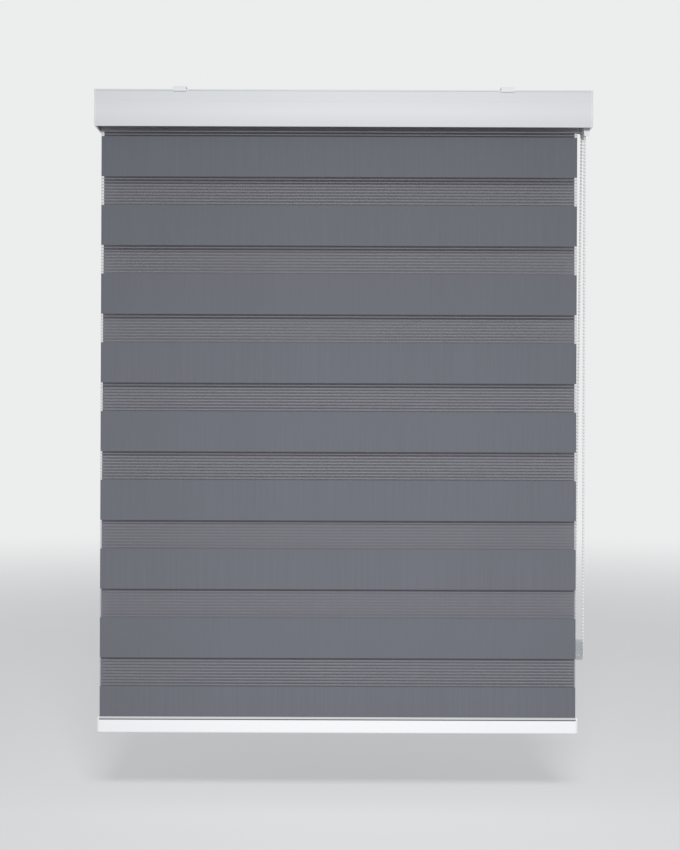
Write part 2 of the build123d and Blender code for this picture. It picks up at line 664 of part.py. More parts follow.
def tensioner_hole():
    """Draw the hole for the fixing screw."""
    with Locations(HOLE_PLACE):
        Circle(TENSIONER_HOLE_RADIUS, mode=Mode.SUBTRACT)


with BuildPart() as tensioner_base:
    with BuildSketch(Plane.XZ.offset(-TENSIONER_Y - CORE_REACH)):
        tensioner_plate()
        tensioner_hole()
    extrude(amount=-TENSIONER_PLATE)
    with BuildSketch(Plane.XZ.offset(-TENSIONER_Y - CORE_REACH)):
        with Locations((TENSIONER_X, -TENSIONER_DROP + TENSIONER_CORE_HEIGHT / 2)):
            SlotCenterToCenter(TENSIONER_CORE_HEIGHT, 2 * CORE_RADIUS, rotation=90)
        tensioner_hole()
    extrude(amount=2 * CORE_REACH)
tensioner_base.part.label = "tensioner_base"
export_step(tensioner_base.part, "parts/tensioner_base.step")

with BuildPart() as tensioner_cover:
    with BuildSketch(Plane.XZ.offset(-TENSIONER_Y + CORE_REACH)):
        tensioner_plate()
        tensioner_hole()
    extrude(amount=TENSIONER_PLATE)
tensioner_cover.part.label = "tensioner_cover"
export_step(tensioner_cover.part, "parts/tensioner_cover.step")

# Cloth: opaque bands and narrower sheer bands with ribs, on one length from roller to fixed end
BAND_PERIOD = OPAQUE_HEIGHT + SHEER_HEIGHT
FRONT_TOP = AXIS_Z
BACK_TOP = CASSETTE_BOTTOM + WALL - FIT
LOOP_LENGTH = math.pi * LOOP_RADIUS
BACK_EDGE_DROP = LOOP_LENGTH - 2 * ROD_Z - FIRST_EDGE_DROP - SHEER_HEIGHT

# The front layer hangs plumb; the back one leans from the rod to the channel, so it has a plane of
# its own, whose height is measured along the cloth and is that of the rod at the rod
FRONT_PLANE = Plane.XZ.offset(-FRONT_Y)
BACK_RUN = Vector(0, CHANNEL_Y - BACK_Y, BACK_TOP - ROD_Z)
BACK_UP = BACK_RUN.normalized()
BACK_NORMAL = Vector(1, 0, 0).cross(BACK_UP)
BACK_PLANE = Plane(origin=Vector(0, BACK_Y, ROD_Z) - BACK_UP * ROD_Z, x_dir=(1, 0, 0), z_dir=BACK_NORMAL)
BACK_END = ROD_Z + BACK_RUN.length


def sheer_bands(first_edge_drop, top, bottom):
    """Upper and lower edges of the sheer bands of a layer that hangs from top to bottom."""
    bands = []
    edge = -(first_edge_drop % BAND_PERIOD) + BAND_PERIOD
    while edge > bottom:
        upper = min(edge, top)
        lower = max(edge - SHEER_HEIGHT, bottom)
        if upper - lower > RIB_HEIGHT:
            bands.append((edge, upper, lower))
        edge -= BAND_PERIOD
    return bands


def cloth_layer(layer_plane, top, bottom, bands):
    """Make one hanging layer: opaque bands, thin sheer webs between them and the ribs on the webs."""
    with BuildSketch(layer_plane) as opaque:
        with Locations((FABRIC_X, (top + bottom) / 2)):
            Rectangle(FABRIC_WIDTH, top - bottom)
        for edge, upper, lower in bands:
            with Locations((FABRIC_X, (upper + lower) / 2)):
                Rectangle(FABRIC_WIDTH, upper - lower, mode=Mode.SUBTRACT)
    extrude(opaque.sketch, amount=FABRIC_THICKNESS / 2, both=True)
    with BuildSketch(layer_plane) as webs:
        for edge, upper, lower in bands:
            with Locations((FABRIC_X, (upper + lower) / 2)):
                Rectangle(FABRIC_WIDTH, upper - lower)
    extrude(webs.sketch, amount=-FABRIC_THICKNESS / 2)
    with BuildSketch(layer_plane) as ribs:
        for edge, upper, lower in bands:
            for rib in range(RIB_COUNT):
                rib_z = edge - RIB_START - rib * RIB_PITCH
                if lower < rib_z - RIB_HEIGHT / 2 and rib_z + RIB_HEIGHT / 2 < upper:
                    with Locations((FABRIC_X, rib_z)):
                        Rectangle(FABRIC_WIDTH, RIB_HEIGHT)
    extrude(ribs.sketch, amount=FABRIC_THICKNESS / 2)


with BuildPart() as fabric_front:
    cloth_layer(FRONT_PLANE, FRONT_TOP, ROD_Z, sheer_bands(FIRST_EDGE_DROP, FRONT_TOP, ROD_Z))
fabric_front.part.label = "fabric_front"
export_step(fabric_front.part, "parts/fabric_front.step")

with BuildPart() as fabric_back:
    cloth_layer(BACK_PLANE, BACK_END, ROD_Z + FIT, sheer_bands(BACK_EDGE_DROP, BACK_END, ROD_Z + FIT))
fabric_back.part.label = "fabric_back"
export_step(fabric_back.part, "parts/fabric_back.step")

# The cloth that turns round the rod inside the rail
ROD_PLANE = Plane(origin=(0, RAIL_Y, ROD_Z), x_dir=(0, 1, 0), z_dir=(1, 0, 0))
LOOP_OUTER = LOOP_RADIUS + FABRIC_THICKNESS / 2
with BuildPart() as fabric_loop:
    with BuildSketch(ROD_PLANE.offset(FABRIC_LEFT)):
        Circle(LOOP_OUTER)
        Circle(LOOP_RADIUS - FABRIC_THICKNESS / 2, mode=Mode.SUBTRACT)
        with Locations((0, LOOP_OUTER)):
            Rectangle(2 * LOOP_OUTER, 2 * LOOP_OUTER, mode=Mode.SUBTRACT)
    extrude(amount=FABRIC_WIDTH)
fabric_loop.part.label = "fabric_loop"
export_step(fabric_loop.part, "parts/fabric_loop.step")

# Bottom rail: a hollow extrusion, open above for the cloth, with a shadow groove across its front
RAIL_SLOT = 2 * (LOOP_OUTER + RAIL_SLOT_CLEARANCE)
RAIL_FRONT = RAIL_Y - RAIL_DEPTH / 2
GROOVE_Z = RAIL_TOP - RAIL_LIP - RAIL_GROOVE / 2
PAD_DEPTH = RAIL_GROOVE_DEPTH + RAIL_WALL
with BuildPart() as bottom_rail:
    with BuildSketch(Plane.YZ.offset(FABRIC_LEFT)):
        with Locations((RAIL_Y, RAIL_Z)):
            RectangleRounded(RAIL_DEPTH, RAIL_HEIGHT, RAIL_ROUND)
            RectangleRounded(
                RAIL_DEPTH - 2 * RAIL_WALL,
                RAIL_HEIGHT - 2 * RAIL_WALL,
                RAIL_ROUND - RAIL_WALL,
                mode=Mode.SUBTRACT,
            )
        with Locations((RAIL_FRONT + PAD_DEPTH / 2, GROOVE_Z)):
            Rectangle(PAD_DEPTH, RAIL_GROOVE + 2 * RAIL_WALL)
        with Locations((RAIL_FRONT + RAIL_GROOVE_DEPTH / 2, GROOVE_Z)):
            Rectangle(RAIL_GROOVE_DEPTH, RAIL_GROOVE, mode=Mode.SUBTRACT)
        with Locations((RAIL_Y, RAIL_TOP)):
            Rectangle(RAIL_SLOT, 2 * RAIL_WALL, mode=Mode.SUBTRACT)
    extrude(amount=FABRIC_WIDTH)
bottom_rail.part.label = "bottom_rail"
export_step(bottom_rail.part, "parts/bottom_rail.step")

# Rail caps: they close the rail, plug into it and hold the ends of the rod
SPIGOT_Z = RAIL_TOP - RAIL_HEIGHT + RAIL_WALL + FIT + RAIL_SPIGOT_HEIGHT / 2
SPIGOT_WIDTH = RAIL_DEPTH - 2 * (RAIL_WALL + FIT)
for side, end_x, cap_name in ((-1, FABRIC_LEFT, "rail_cap_left"), (1, FABRIC_RIGHT, "rail_cap_right")):
    with BuildPart() as rail_cap:
        with BuildSketch(Plane.YZ.offset(end_x)):
            with Locations((RAIL_Y, RAIL_Z)):
                RectangleRounded(RAIL_DEPTH, RAIL_HEIGHT, RAIL_ROUND)
        extrude(amount=side * RAIL_CAP_THICKNESS)
        outer_edges = rail_cap.faces().sort_by(Axis.X)[-1 if side > 0 else 0].edges()
        fillet(outer_edges, RAIL_CAP_ROUND)
        with BuildSketch(Plane.YZ.offset(end_x)):
            with Locations((RAIL_Y, SPIGOT_Z)):
                RectangleRounded(SPIGOT_WIDTH, RAIL_SPIGOT_HEIGHT, RAIL_ROUND - RAIL_WALL)
        extrude(amount=-side * RAIL_SPIGOT_LENGTH)
        with BuildSketch(ROD_PLANE.offset(end_x)):
            Circle(ROD_RADIUS + FIT)
        extrude(amount=side * ROD_SOCKET_DEPTH, mode=Mode.SUBTRACT)
    rail_cap.part.label = cap_name
    export_step(rail_cap.part, f"parts/{cap_name}.step")

# Weight rod in the loop of cloth
ROD_LENGTH = FABRIC_WIDTH + 2 * (ROD_SOCKET_DEPTH - FIT)
with BuildPart() as rail_rod:
    with BuildSketch(ROD_PLANE.offset(FABRIC_X)):
        Circle(ROD_RADIUS)
    extrude(amount=ROD_LENGTH / 2, both=True)
rail_rod.part.label = "rail_rod"
export_step(rail_rod.part, "parts/rail_rod.step")
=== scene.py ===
import json
import math

import bpy
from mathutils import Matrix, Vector


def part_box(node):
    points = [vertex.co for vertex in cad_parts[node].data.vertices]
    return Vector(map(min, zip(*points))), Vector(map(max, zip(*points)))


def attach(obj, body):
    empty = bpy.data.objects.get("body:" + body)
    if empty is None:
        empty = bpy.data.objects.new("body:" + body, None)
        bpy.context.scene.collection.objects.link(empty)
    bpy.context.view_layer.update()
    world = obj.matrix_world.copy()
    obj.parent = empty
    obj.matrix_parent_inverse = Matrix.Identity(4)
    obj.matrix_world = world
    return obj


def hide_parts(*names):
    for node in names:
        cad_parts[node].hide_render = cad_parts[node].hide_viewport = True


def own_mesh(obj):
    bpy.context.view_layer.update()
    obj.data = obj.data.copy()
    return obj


# A day and night blind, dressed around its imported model. Metres, +Z up, the front faces -Y.
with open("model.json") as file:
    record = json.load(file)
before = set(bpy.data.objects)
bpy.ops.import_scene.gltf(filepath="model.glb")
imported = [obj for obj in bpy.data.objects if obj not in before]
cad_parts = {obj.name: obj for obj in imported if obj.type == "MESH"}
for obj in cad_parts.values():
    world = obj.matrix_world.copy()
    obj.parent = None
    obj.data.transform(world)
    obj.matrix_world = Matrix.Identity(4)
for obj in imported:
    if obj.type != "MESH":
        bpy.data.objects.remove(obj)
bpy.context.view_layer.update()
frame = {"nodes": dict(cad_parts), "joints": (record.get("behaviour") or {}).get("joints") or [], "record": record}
nodes = frame["nodes"]
joints = {joint["name"]: joint for joint in frame["joints"]}

# Camera: level, square to the blind, as in the photograph of 680 by 850
IMAGE_WIDTH = 680
IMAGE_HEIGHT = 850
CAMERA_PLACE = Vector((-0.0046, -2.6, -0.61))
CAMERA_ROLL = math.radians(-0.2)
HALF_VIEW = math.radians(13.45)
SENSOR_WIDTH = 36.0

# Stage: a round floor that fades into the backdrop
FLOOR_Z = -1.32
FLOOR_RADIUS = 7.0
FLOOR_FADE = 2.0
FLOOR_COVER = 0.65
FLOOR_SEGMENTS = 96
FLOOR_COLOUR = (0.88, 0.885, 0.89)
BACKDROP_COLOUR = (0.84, 0.845, 0.85)

# Light
KEY_PLACE = (0.12, -3.2, 0.75)
KEY_TARGET = (0.06, 0.0, -1.0)
KEY_WIDTH = 0.9
KEY_HEIGHT = 0.35
KEY_SPREAD = math.radians(60)
KEY_POWER = 9.8
WORLD_COLOUR = (0.41, 0.415, 0.425)

# Finishes: grain in repeats per metre along X, Y and Z, depths of bump in metres
SOFT_DETAIL = 2.0
FINE_DETAIL = 3.0
TINT_LOW = 0.25
TINT_HIGH = 0.75
WAVE_DISTORTION = 0.4
WAVE_DETAIL = 1.0

COAT_ROUGHNESS = 0.5
COAT_SPECULAR = 0.35
COAT_PEEL = (900, 900, 900)
COAT_LINES = (3, 500, 500)
COAT_MOTTLE = (2.5, 9, 9)
COAT_TINT = 0.015
COAT_BUMP = 0.05
COAT_BUMP_DEPTH = 0.0004
COAT_SMOOTHEST = 0.45
COAT_ROUGHEST = 0.58

PLASTIC_GRAIN = (1500, 1500, 1500)
PLASTIC_MOTTLE = (40, 40, 40)
PLASTIC_TINT = 0.02
PLASTIC_BUMP = 0.06
PLASTIC_BUMP_DEPTH = 0.0003
PLASTIC_ROUGH_SPREAD = 0.06

STEEL_METALLIC = 1.0
STEEL_STREAK = (8, 1200, 1200)
STEEL_TINT = 0.06
STEEL_BUMP = 0.05
STEEL_BUMP_DEPTH = 0.0003
STEEL_SMOOTHER = 0.08
STEEL_ROUGHER = 0.1

CLEAR_COLOUR = (0.50, 0.53, 0.55)
CLEAR_ROUGHNESS = 0.12
CLEAR_COVER = 0.4
CLEAR_FLOW = (60, 60, 25)
CLEAR_TINT = 0.02
CLEAR_BUMP = 0.08
CLEAR_BUMP_DEPTH = 0.0006

CLOTH_ROUGHNESS = 0.82
CLOTH_SHEEN = 0.15
CLOTH_SHEEN_ROUGHNESS = 0.5
CLOTH_SPECULAR = 0.25
CLOTH_WARP = (420, 1, 5)
CLOTH_SHADE = (7, 1, 3)
WARP_SHARE = 0.7
SHADE_SHARE = 0.3
CLOTH_TINT = 0.07
WARP_WAVES = 520
WEFT_WAVES = 430
CLOTH_BUMP = 0.35
CLOTH_BUMP_DEPTH = 0.0003

YARN_ROUGHNESS = 0.6
YARN_SHEEN = 0.1
YARN_FIBRE = (50, 300, 300)
YARN_TINT = 0.04
YARN_BUMP = 0.1
YARN_BUMP_DEPTH = 0.0002

FLOOR_ROUGHNESS = 0.95
FLOOR_MOTTLE = (1.5, 1.5, 1.5)
FLOOR_TINT = 0.01

# Cloth: one length of it, with its opaque bands and its sheer bands of ribs and fine threads
CLOTH_THICKNESS = 0.0005
OPAQUE_HEIGHT = 0.073
SHEER_HEIGHT = 0.052
BAND_PERIOD = OPAQUE_HEIGHT + SHEER_HEIGHT
FRONT_EDGE = -0.159
RIB_COUNT = 9
RIB_PITCH = 0.0055
RIB_START = 0.0044
RIB_YARNS = 4
YARN_PITCH = 0.0005
YARN_HEIGHT = 0.00024
YARN_DEPTH = 0.00015
YARN_COLUMNS = 16
THREAD_PITCH = 0.0012
THREAD_WIDTH = 0.0003
CLOTH_COLUMNS = 48
BAND_ROWS = 6
HEM_RISE = 0.0005
SWAY_DEPTH = 0.00012
SWAY_LENGTH = 0.29

# The cloth's materials, by their place in its mesh
FACE, REVERSE, RIB, THREAD = range(4)

# Rail: a lip that rounds back to its slot, and a groove under it
RAIL_LIP = 0.003
RAIL_GROOVE = 0.002
RAIL_GROOVE_DEPTH = 0.0022
FACE_MARGIN = 0.0001
GROOVE_FACES, LIP_FACES = 1, 2

# Bead chain: its route is that of the CAD chain
BEAD_PITCH = 0.006
BEAD_RADIUS = 0.00225
BEAD_LENGTH = 0.0047
CORD_RADIUS = 0.0007
POCKETS = 16
TURN_BEADS = 4
WHEEL_SIDE = 0.00375
BEAD_SEGMENTS = 12
BEAD_RINGS = 8
CORD_SIDES = 6


def mesh_object(name, points, faces, materials, face_materials=None, smooth=True):
    """Make an object from lists of points and faces."""
    mesh = bpy.data.meshes.new(name)
    mesh.from_pydata(points, [], faces)
    for material in materials:
        mesh.materials.append(material)
    if face_materials:
        mesh.polygons.foreach_set("material_index", face_materials)
    mesh.polygons.foreach_set("use_smooth", [smooth] * len(faces))
    mesh.update()
    made = bpy.data.objects.new(name, mesh)
    bpy.context.scene.collection.objects.link(made)
    return made


class Surface:
    """A material being built: its shader, its coordinates and short ways to add nodes."""

    def __init__(self, name, colour, roughness, metallic=0.0):
        self.material = bpy.data.materials.new(name)
        self.material.use_nodes = True
        self.tree = self.material.node_tree
        self.shader = self.tree.nodes["Principled BSDF"]
        self.shader.inputs["Roughness"].default_value = roughness
        self.shader.inputs["Metallic"].default_value = metallic
        self.colour = colour
        self.place = self.tree.nodes.new("ShaderNodeTexCoord").outputs["Object"]

    def stretched(self, scale):
        """Object coordinates multiplied along each axis."""
        mapping = self.tree.nodes.new("ShaderNodeMapping")
        mapping.inputs["Scale"].default_value = scale
        self.tree.links.new(self.place, mapping.inputs["Vector"])
        return mapping.outputs["Vector"]

    def noise(self, scale, detail=SOFT_DETAIL):
        """Noise with its own size along each axis."""
        texture = self.tree.nodes.new("ShaderNodeTexNoise")
        texture.inputs["Scale"].default_value = 1.0
        texture.inputs["Detail"].default_value = detail
        self.tree.links.new(self.stretched(scale), texture.inputs["Vector"])
        return texture.outputs["Fac"]

    def wave(self, scale, direction):
        """Even waves across one axis, as threads laid side by side."""
        texture = self.tree.nodes.new("ShaderNodeTexWave")
        texture.bands_direction = direction
        texture.inputs["Scale"].default_value = scale
        texture.inputs["Distortion"].default_value = WAVE_DISTORTION
        texture.inputs["Detail"].default_value = WAVE_DETAIL
        self.tree.links.new(self.place, texture.inputs["Vector"])
        return texture.outputs["Fac"]

    def math(self, operation, first, second):
        """Work out one value from two, each a socket or a number."""
        node = self.tree.nodes.new("ShaderNodeMath")
        node.operation = operation
        for socket, value in zip(node.inputs, (first, second)):
            if isinstance(value, (int, float)):
                socket.default_value = value
            else:
                self.tree.links.new(value, socket)
        return node.outputs["Value"]

    def tint(self, value, spread):
        """Vary the colour by a share of itself, as the value goes from 0 to 1."""
        ramp = self.tree.nodes.new("ShaderNodeValToRGB")
        for stop, factor in zip(ramp.color_ramp.elements, (1 - spread, 1 + spread)):
            stop.color = (*(min(1.0, part * factor) for part in self.colour), 1.0)
        ramp.color_ramp.elements[0].position = TINT_LOW
        ramp.color_ramp.elements[1].position = TINT_HIGH
        self.tree.links.new(value, ramp.inputs["Fac"])
        self.tree.links.new(ramp.outputs["Color"], self.shader.inputs["Base Color"])

    def bump(self, height, strength, distance):
        """Raise the surface by a value."""
        node = self.tree.nodes.new("ShaderNodeBump")
        node.inputs["Strength"].default_value = strength
        node.inputs["Distance"].default_value = distance
        self.tree.links.new(height, node.inputs["Height"])
        self.tree.links.new(node.outputs["Normal"], self.shader.inputs["Normal"])

    def rough(self, value, low, high):
        """Let the roughness follow a value."""
        node = self.tree.nodes.new("ShaderNodeMapRange")
        node.inputs["To Min"].default_value = low
        node.inputs["To Max"].default_value = high
        self.tree.links.new(value, node.inputs["Value"])
        self.tree.links.new(node.outputs["Result"], self.shader.inputs["Roughness"])


def powder_coat(name, colour):
    """White coat on an extrusion: a fine orange peel and faint draw lines along it."""
    surface = Surface(name, colour, COAT_ROUGHNESS)
    surface.shader.inputs["Specular IOR Level"].default_value = COAT_SPECULAR
    peel = surface.noise(COAT_PEEL)
    lines = surface.noise(COAT_LINES, FINE_DETAIL)
    surface.tint(surface.noise(COAT_MOTTLE), COAT_TINT)
    surface.bump(surface.math("ADD", peel, lines), COAT_BUMP, COAT_BUMP_DEPTH)
    surface.rough(lines, COAT_SMOOTHEST, COAT_ROUGHEST)
    return surface.material


def moulded(name, colour, roughness):
    """Moulded plastic: a fine spark-eroded grain."""
    surface = Surface(name, colour, roughness)
    grain = surface.noise(PLASTIC_GRAIN, FINE_DETAIL)
    surface.tint(surface.noise(PLASTIC_MOTTLE), PLASTIC_TINT)
    surface.bump(grain, PLASTIC_BUMP, PLASTIC_BUMP_DEPTH)
    surface.rough(grain, roughness - PLASTIC_ROUGH_SPREAD, roughness + PLASTIC_ROUGH_SPREAD)
    return surface.material


def steel(name, colour, roughness):
    """Drawn or plated steel: long fine streaks."""
    surface = Surface(name, colour, roughness, STEEL_METALLIC)
    streak = surface.noise(STEEL_STREAK, FINE_DETAIL)
    surface.tint(streak, STEEL_TINT)
    surface.bump(streak, STEEL_BUMP, STEEL_BUMP_DEPTH)
    surface.rough(streak, roughness - STEEL_SMOOTHER, roughness + STEEL_ROUGHER)
    return surface.material


def clear_plastic(name):
    """Clear moulded plastic with faint flow marks."""
    surface = Surface(name, CLEAR_COLOUR, CLEAR_ROUGHNESS)
    surface.shader.inputs["Alpha"].default_value = CLEAR_COVER
    flow = surface.noise(CLEAR_FLOW)
    surface.tint(flow, CLEAR_TINT)
    surface.bump(flow, CLEAR_BUMP, CLEAR_BUMP_DEPTH)
    return surface.material


def opaque_cloth(name, colour):
    """Close plain weave with uneven warp yarns that run down the cloth."""
    surface = Surface(name, colour, CLOTH_ROUGHNESS)
    surface.shader.inputs["Sheen Weight"].default_value = CLOTH_SHEEN
    surface.shader.inputs["Sheen Roughness"].default_value = CLOTH_SHEEN_ROUGHNESS
    surface.shader.inputs["Specular IOR Level"].default_value = CLOTH_SPECULAR
    warp = surface.noise(CLOTH_WARP)
    streaks = surface.math("MULTIPLY", warp, WARP_SHARE)
    shade = surface.math("MULTIPLY", surface.noise(CLOTH_SHADE), SHADE_SHARE)
    surface.tint(surface.math("ADD", streaks, shade), CLOTH_TINT)
    weave = surface.math("MULTIPLY", surface.wave(WARP_WAVES, "X"), surface.wave(WEFT_WAVES, "Z"))
    surface.bump(surface.math("ADD", weave, warp), CLOTH_BUMP, CLOTH_BUMP_DEPTH)
    return surface.material


def sheer_yarn(name, colour):
    """Fine yarn of the sheer bands."""
    surface = Surface(name, colour, YARN_ROUGHNESS)
    surface.shader.inputs["Sheen Weight"].default_value = YARN_SHEEN
    fibre = surface.noise(YARN_FIBRE)
    surface.tint(fibre, YARN_TINT)
    surface.bump(fibre, YARN_BUMP, YARN_BUMP_DEPTH)
    return surface.material


white_coat = powder_coat("white_coat", (0.76, 0.775, 0.795))
# Painted light: the rail has the cassette's white coat, painted paler for the brighter light at the bottom of the
# blind
rail_coat_painted_light = powder_coat("rail_coat_painted_light", (0.88, 0.885, 0.895))
white_plastic = moulded("white_plastic", (0.80, 0.815, 0.83), roughness=0.36)
bracket_paint = powder_coat("bracket_paint", (0.84, 0.85, 0.86))
grey_plastic = moulded("grey_plastic", (0.35, 0.36, 0.37), roughness=0.5)
chain_plastic = moulded("chain_plastic", (0.82, 0.825, 0.825), roughness=0.32)
zinc_steel = steel("zinc_steel", (0.62, 0.62, 0.63), roughness=0.34)
mill_aluminium = steel("mill_aluminium", (0.72, 0.72, 0.73), roughness=0.36)
# The next two are painted shade, one for the groove of the rail and one for its lip
groove_painted_shade = moulded("groove_painted_shade", (0.22, 0.22, 0.23), roughness=0.6)
lip_painted_shade = powder_coat("lip_painted_shade", (0.62, 0.625, 0.635))
clear = clear_plastic("clear_plastic")
cloth_opaque = opaque_cloth("cloth_opaque", (0.146, 0.154, 0.176))
# Painted light: the reverse is the same cloth as the face, painted paler to make up for the shade the sheers cast
# on the back layer
cloth_reverse_painted_light = opaque_cloth("cloth_reverse_painted_light", (0.240, 0.238, 0.276))
cloth_rib = sheer_yarn("cloth_rib", (0.318, 0.312, 0.352))
cloth_thread = sheer_yarn("cloth_thread", (0.125, 0.123, 0.136))

NODE_MATERIALS = {
    white_coat: ("cassette_front", "cassette_back"),
    rail_coat_painted_light: ("bottom_rail",),
    white_plastic: (
        "end_cap_left", "end_cap_right", "rail_cap_left", "rail_cap_right", "chain_guard",
    ),
    bracket_paint: ("ceiling_bracket_left", "ceiling_bracket_right"),
    zinc_steel: ("end_cap_screws", "idle_pin", "idle_spring", "wrap_springs", "rail_rod"),
    mill_aluminium: ("roller_tube",),
    grey_plastic: (
        "fixed_end_strip", "fabric_spline", "idle_bush", "idle_plug",
        "clutch_base", "drive_crown", "chain_wheel",
    ),
    clear: ("tensioner_base", "tensioner_cover"),
    cloth_opaque: ("fabric_roll", "fabric_loop"),
}
for material, names in NODE_MATERIALS.items():
    for name in names:
        nodes[name].data.materials.clear()
        nodes[name].data.materials.append(material)

# Painted shade: the lip of the rail is painted greyer than its face, and the groove dark grey, for the shade that
# lies on them
rail_low, rail_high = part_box("bottom_rail")
rail_mesh = nodes["bottom_rail"].data
rail_mesh.materials.append(groove_painted_shade)
rail_mesh.materials.append(lip_painted_shade)
for polygon in rail_mesh.polygons:
    middle = nodes["bottom_rail"].matrix_world @ polygon.center
    inward, down = middle.y - rail_low.y, rail_high.z - middle.z
    in_groove = abs(down - RAIL_LIP - RAIL_GROOVE / 2) < RAIL_GROOVE / 2 + FACE_MARGIN
    if in_groove and FACE_MARGIN < inward < RAIL_GROOVE_DEPTH + FACE_MARGIN:
        polygon.material_index = GROOVE_FACES
    elif inward < RAIL_LIP - FACE_MARGIN and FACE_MARGIN < down < RAIL_LIP:
        polygon.material_index = LIP_FACES


class Cloth:
    """One hanging layer of cloth: its faces are gathered here and made into one mesh."""

    def __init__(self, node, face):
        low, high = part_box(node)
        self.face = face
        half = CLOTH_THICKNESS / 2
        self.left, self.right = low.x, high.x
        self.top, self.bottom = high.z, low.z
        self.top_y, self.bottom_y = high.y - half, low.y + half
        self.points, self.faces, self.kinds = [], [], []

    def depth(self, x, z):
        """The place of the layer's middle: straight from its top to the rod, with a faint sway."""
        share = (z - self.bottom) / (self.top - self.bottom)
        sway = math.sin(2 * math.pi * x / SWAY_LENGTH) * math.sin(math.pi * share)
        return self.bottom_y + share * (self.top_y - self.bottom_y) + SWAY_DEPTH * sway

    def tube(self, rings, kinds):
        """Join closed rings of points and close both ends; each side has its own material."""
        start, sides = len(self.points), len(rings[0])
        for ring in rings:
            self.points.extend(ring)
        made = [tuple(range(start + sides - 1, start - 1, -1))]
        for ring in range(len(rings) - 1):
            base = start + ring * sides
            for side in range(sides):
                after = (side + 1) % sides
                made.append((base + side, base + after, base + sides + after, base + sides + side))
        last = start + (len(rings) - 1) * sides
        made.append(tuple(range(last, last + sides)))
        self.faces.extend(made)
        self.kinds.extend([kinds[0]] + list(kinds) * (len(rings) - 1) + [kinds[0]])

    def opaque(self, upper, lower):
        """A closed panel of opaque cloth, as rings of points across its width."""
        half = CLOTH_THICKNESS / 2
        rows = [lower + (upper - lower) * row / BAND_ROWS for row in range(BAND_ROWS + 1)]
        rings = []
        for column in range(CLOTH_COLUMNS + 1):
            x = self.left + (self.right - self.left) * column / CLOTH_COLUMNS
            front = [(x, self.depth(x, z) - half, z) for z in rows]
            back = [(x, self.depth(x, z) + half, z) for z in reversed(rows)]
            rings.append(front + back)
        other = REVERSE if self.face == FACE else FACE
        self.tube(rings, [self.face] * len(rows) + [other] * len(rows))

    def yarn(self, z):
        """One flat weft yarn across the sheer band."""
        half = YARN_DEPTH / 2
        low, high = z - YARN_HEIGHT / 2, z + YARN_HEIGHT / 2
        rings = []
        for column in range(YARN_COLUMNS + 1):
            x = self.left + (self.right - self.left) * column / YARN_COLUMNS
            near, far = self.depth(x, z) - half, self.depth(x, z) + half
            rings.append([(x, near, low), (x, near, high), (x, far, high), (x, far, low)])
        self.tube(rings, [RIB] * len(rings[0]))

    def threads(self, upper, lower):
        """The fine warp threads that cross the sheer band and carry its ribs."""
        count = round((self.right - self.left) / THREAD_PITCH)
        pitch = (self.right - self.left - THREAD_WIDTH) / count
        half = THREAD_WIDTH / 2
        for thread in range(count + 1):
            x = self.left + half + thread * pitch
            rings = []
            for z in (lower, upper):
                y = self.depth(x, z)
                rings.append([(x - half, y - half, z), (x + half, y - half, z), (x, y + half, z)])
            self.tube(rings, [THREAD] * len(rings[0]))

    def ribs(self, edge, upper, lower):
        """The ribs of one sheer band, each a bundle of weft yarns."""
        for rib in range(RIB_COUNT):
            middle = edge - RIB_START - rib * RIB_PITCH
            for yarn in range(RIB_YARNS):
                z = middle + (yarn - (RIB_YARNS - 1) / 2) * YARN_PITCH
                if lower < z - YARN_HEIGHT / 2 and z + YARN_HEIGHT / 2 < upper:
                    self.yarn(z)

    def weave(self, name, first_edge, top, bottom):
        """Lay the bands between two heights, starting from one upper edge of a sheer band."""
        self.points, self.faces, self.kinds = [], [], []
        edge = first_edge + BAND_PERIOD * math.ceil((top - first_edge) / BAND_PERIOD)
        while edge > bottom:
            upper, lower = min(edge, top), max(edge - SHEER_HEIGHT, bottom)
            if upper > lower:
                self.threads(upper, lower)
                self.ribs(edge, upper, lower)
            upper, lower = min(edge - SHEER_HEIGHT, top), max(edge - BAND_PERIOD, bottom)
            if upper > lower:
                self.opaque(upper, lower)
            edge -= BAND_PERIOD
        materials = (cloth_opaque, cloth_reverse_painted_light, cloth_rib, cloth_thread)
        return mesh_object(name, self.points, self.faces, materials, self.kinds, False)


# As the rail rises the real layers shorten towards their fixed upper edges; here each layer hangs from the
# cassette, and its hem in the rail's slot rises with the rail. The front layer shows the face of the cloth to the
# room, the back one its reverse
HEM_TOP = rail_high.z + HEM_RISE
rod_low, rod_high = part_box("rail_rod")
ROD_Z = (rod_low.z + rod_high.z) / 2
front = Cloth("fabric_front", FACE)
back = Cloth("fabric_back", REVERSE)
LOOP_LENGTH = math.pi * (back.bottom_y - front.bottom_y) / 2
BACK_EDGE = 2 * ROD_Z - LOOP_LENGTH - FRONT_EDGE + SHEER_HEIGHT
for layer, node, first_edge, holder in (
    (front, "fabric_front", FRONT_EDGE, "fabric_roll"),
    (back, "fabric_back", BACK_EDGE, "fixed_end_strip"),
):
    side = node.split("_")[1]
    piece = layer.weave("cloth_" + side, first_edge, layer.top, HEM_TOP)
    hem = layer.weave("hem_" + side, first_edge, HEM_TOP, layer.bottom)
    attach(piece, "cassette")
    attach(hem, "rail")
    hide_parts(node)
    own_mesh(piece)


def wheel_stop(centre, turn):
    """A point of the chain on the wheel, from its rear (0) over the top to its front (180)."""
    radius = BEAD_PITCH / (2 * math.sin(math.pi / POCKETS))
    angle = math.radians(turn)
    return centre + Vector((0, math.cos(angle), math.sin(angle))) * radius


def tensioner_stop(centre, turn):
    """A point of the chain in the tensioner, from its right (0) round below to its left (180)."""
    radius = TURN_BEADS * BEAD_PITCH / math.pi
    angle = math.radians(turn)
    return centre + Vector((math.cos(angle), 0, -math.sin(angle))) * radius


def strand(start, end):
    """The middles of the beads between two stops."""
    steps = round((end - start).length / BEAD_PITCH)
    return [start.lerp(end, step / steps) for step in range(1, steps)]


